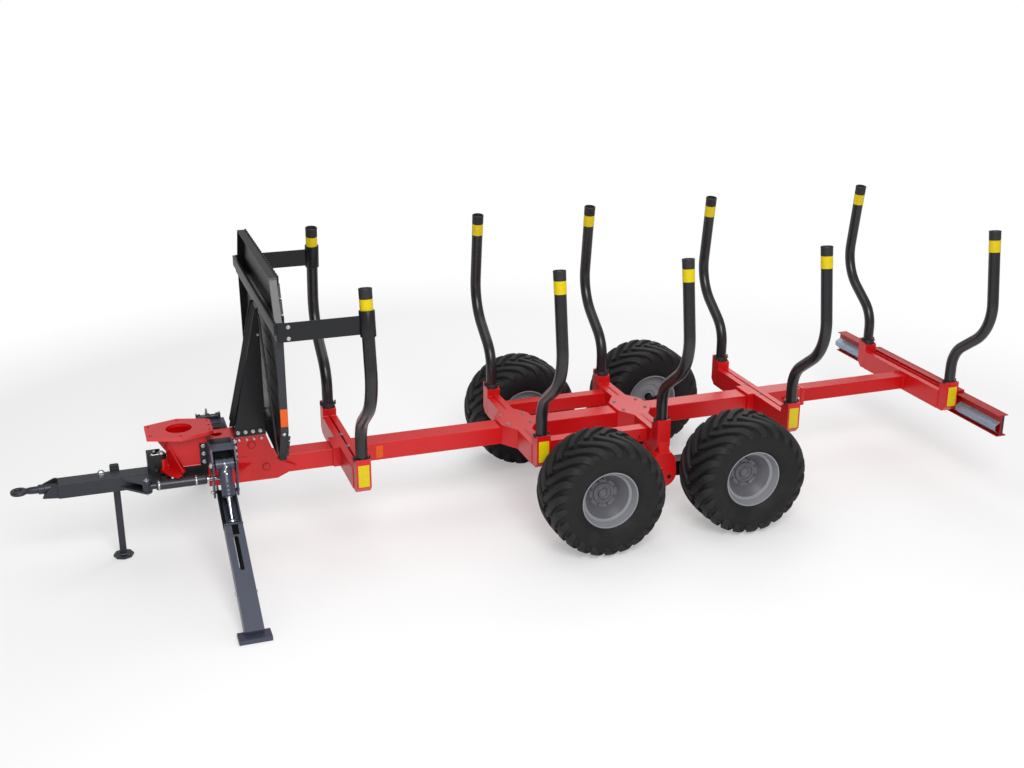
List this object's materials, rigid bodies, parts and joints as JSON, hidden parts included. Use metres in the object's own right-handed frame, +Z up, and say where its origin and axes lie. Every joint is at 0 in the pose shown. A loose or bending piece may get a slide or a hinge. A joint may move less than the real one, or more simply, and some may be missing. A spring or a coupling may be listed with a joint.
{
  "type": "forestry trailer",
  "caption": "Log trailer with a single main beam, rocking twin-wheel bogies, curved log stakes, a headboard, a crane mount, folding stabilisers and a steered drawbar.",
  "frame": {"origin": "on the ground, midway along the overall length and width", "axes": "+X forward towards the tow eye, +Y to the left of the trailer, +Z up"},
  "size_m": [7.67, 2.98, 2.29],
  "materials": {
    "red_paint": "gloss",
    "graphite_paint": "satin",
    "black_paint": "satin",
    "tyre_rubber": "matt",
    "rim_paint": "satin",
    "chrome_rod": "polished",
    "zinc": "satin",
    "galvanised": "spangled",
    "yellow_band": "retroreflective",
    "orange_reflector": "prismatic",
    "hydraulic_hose": "matt"
  },
  "bodies": {
    "frame": {"main_beam": "red_paint", "bolster_1": "red_paint", "bolster_2": "red_paint", "bolster_3": "red_paint", "bolster_4": "red_paint", "subframe_rails": "red_paint", "bogie_hangers": "red_paint", "bogie_axle": "black_paint", "front_frame_sides": "red_paint", "front_frame_deck": "red_paint", "crane_mount_plate": "red_paint", "crane_mount_column": "red_paint", "pivot_nose": "red_paint", "pivot_block": "black_paint", "steering_lugs": "red_paint", "stakes_left": "black_paint", "stakes_right": "black_paint", "headboard_frame": "black_paint", "headboard_panel": "black_paint", "headboard_crossbar": "black_paint", "headboard_braces": "black_paint", "headboard_pedestal": "black_paint", "headboard_arms": "black_paint", "stabiliser_brackets": "graphite_paint", "sockets_left": "red_paint", "sockets_right": "red_paint", "hanger_bridges": "red_paint"},
    "rear_extension": {"extension_tube": "red_paint", "bolster_5": "red_paint", "sockets_rear": "red_paint", "stakes_rear": "black_paint", "rear_light_beam": "red_paint", "rear_lamps": "black_paint"},
    "drawbar": {"drawbar_tube": "graphite_paint", "drawbar_clevis": "black_paint", "drawbar_lugs": "graphite_paint", "tow_eye": "graphite_paint", "jack_sleeve": "graphite_paint"},
    "jack": {"jack_leg": "graphite_paint"},
    "bogie_left": {"bogie_beam_left": "black_paint"},
    "wheel_front_left": {"tyre_front_left": "tyre_rubber", "rim_front_left": "rim_paint"},
    "wheel_rear_left": {"tyre_rear_left": "tyre_rubber", "rim_rear_left": "rim_paint"},
    "bogie_right": {"bogie_beam_right": "black_paint"},
    "wheel_front_right": {"tyre_front_right": "tyre_rubber", "rim_front_right": "rim_paint"},
    "wheel_rear_right": {"tyre_rear_right": "tyre_rubber", "rim_rear_right": "rim_paint"},
    "steering_barrel": {"steering_barrel": "graphite_paint"},
    "steering_rod": {"steering_rod": "chrome_rod"},
    "stabiliser_leg_left": {"stabiliser_leg_left": "graphite_paint"},
    "stabiliser_barrel_left": {"stabiliser_barrel_left": "graphite_paint"},
    "stabiliser_rod_left": {"stabiliser_rod_left": "chrome_rod"},
    "stabiliser_leg_right": {"stabiliser_leg_right": "graphite_paint"},
    "stabiliser_barrel_right": {"stabiliser_barrel_right": "graphite_paint"},
    "stabiliser_rod_right": {"stabiliser_rod_right": "chrome_rod"}
  },
  "joints": [
    {"name": "bogie_left_pivot", "type": "hinge", "parent": "frame", "child": "bogie_left", "pos_m": [-0.993, 0.545, 0.41], "axis": [0, 1, 0], "range_deg": [-12, 12]},
    {"name": "wheel_front_left_spin", "type": "hinge", "parent": "bogie_left", "child": "wheel_front_left", "pos_m": [-0.3546, 0.928, 0.466], "axis": [0, 1, 0], "continuous": true},
    {"name": "wheel_rear_left_spin", "type": "hinge", "parent": "bogie_left", "child": "wheel_rear_left", "pos_m": [-1.5483, 0.928, 0.466], "axis": [0, 1, 0], "continuous": true},
    {"name": "bogie_right_pivot", "type": "hinge", "parent": "frame", "child": "bogie_right", "pos_m": [-0.993, -0.545, 0.41], "axis": [0, 1, 0], "range_deg": [-12, 12]},
    {"name": "wheel_front_right_spin", "type": "hinge", "parent": "bogie_right", "child": "wheel_front_right", "pos_m": [-0.3546, -0.928, 0.466], "axis": [0, 1, 0], "continuous": true},
    {"name": "wheel_rear_right_spin", "type": "hinge", "parent": "bogie_right", "child": "wheel_rear_right", "pos_m": [-1.5483, -0.928, 0.466], "axis": [0, 1, 0], "continuous": true},
    {"name": "extension_slide", "type": "slide", "parent": "frame", "child": "rear_extension", "axis": [1, 0, 0], "range_m": [0, 0.95]},
    {"name": "drawbar_steer", "type": "hinge", "parent": "frame", "child": "drawbar", "pos_m": [2.769, 0, 0.672], "axis": [0, 0, 1], "range_deg": [-30, 30]},
    {"name": "jack_raise", "type": "slide", "parent": "drawbar", "child": "jack", "axis": [0, 0, 1], "range_m": [0, 0.35]},
    {"name": "steering_barrel_swing", "type": "hinge", "parent": "drawbar", "child": "steering_barrel", "pos_m": [2.899, 0.2, 0.67], "axis": [0, 0, 1], "range_deg": [-24, 24]},
    {"name": "steering_rod_slide", "type": "slide", "parent": "steering_barrel", "child": "steering_rod", "axis": [-1, 0, 0], "range_m": [-0.104, 0.104]},
    {"name": "stabiliser_leg_left_fold", "type": "hinge", "parent": "frame", "child": "stabiliser_leg_left", "pos_m": [2.354, 0.322, 0.61], "axis": [1, 0, 0], "range_deg": [0, 48]},
    {"name": "stabiliser_barrel_left_swing", "type": "hinge", "parent": "frame", "child": "stabiliser_barrel_left", "pos_m": [2.354, 0.35, 0.832], "axis": [1, 0, 0], "range_deg": [0, 31]},
    {"name": "stabiliser_rod_left_slide", "type": "slide", "parent": "stabiliser_barrel_left", "child": "stabiliser_rod_left", "axis": [0, 0.5364, -0.844], "range_m": [-0.147, 0]},
    {"name": "stabiliser_leg_right_fold", "type": "hinge", "parent": "frame", "child": "stabiliser_leg_right", "pos_m": [2.354, -0.322, 0.61], "axis": [-1, 0, 0], "range_deg": [0, 48]},
    {"name": "stabiliser_barrel_right_swing", "type": "hinge", "parent": "frame", "child": "stabiliser_barrel_right", "pos_m": [2.354, -0.35, 0.832], "axis": [-1, 0, 0], "range_deg": [0, 31]},
    {"name": "stabiliser_rod_right_slide", "type": "slide", "parent": "stabiliser_barrel_right", "child": "stabiliser_rod_right", "axis": [0, -0.5364, -0.844], "range_m": [-0.147, 0]}
  ],
  "couplings": [
    {"joint": "steering_barrel_swing", "follows": "drawbar_steer", "ratio": -0.775},
    {"joint": "steering_rod_slide", "follows": "drawbar_steer", "m_per_rad": -0.1973},
    {"joint": "stabiliser_barrel_left_swing", "follows": "stabiliser_leg_left_fold", "ratio": 0.625},
    {"joint": "stabiliser_rod_left_slide", "follows": "stabiliser_leg_left_fold", "m_per_rad": -0.174},
    {"joint": "stabiliser_barrel_right_swing", "follows": "stabiliser_leg_right_fold", "ratio": 0.625},
    {"joint": "stabiliser_rod_right_slide", "follows": "stabiliser_leg_right_fold", "m_per_rad": -0.174}
  ]
}
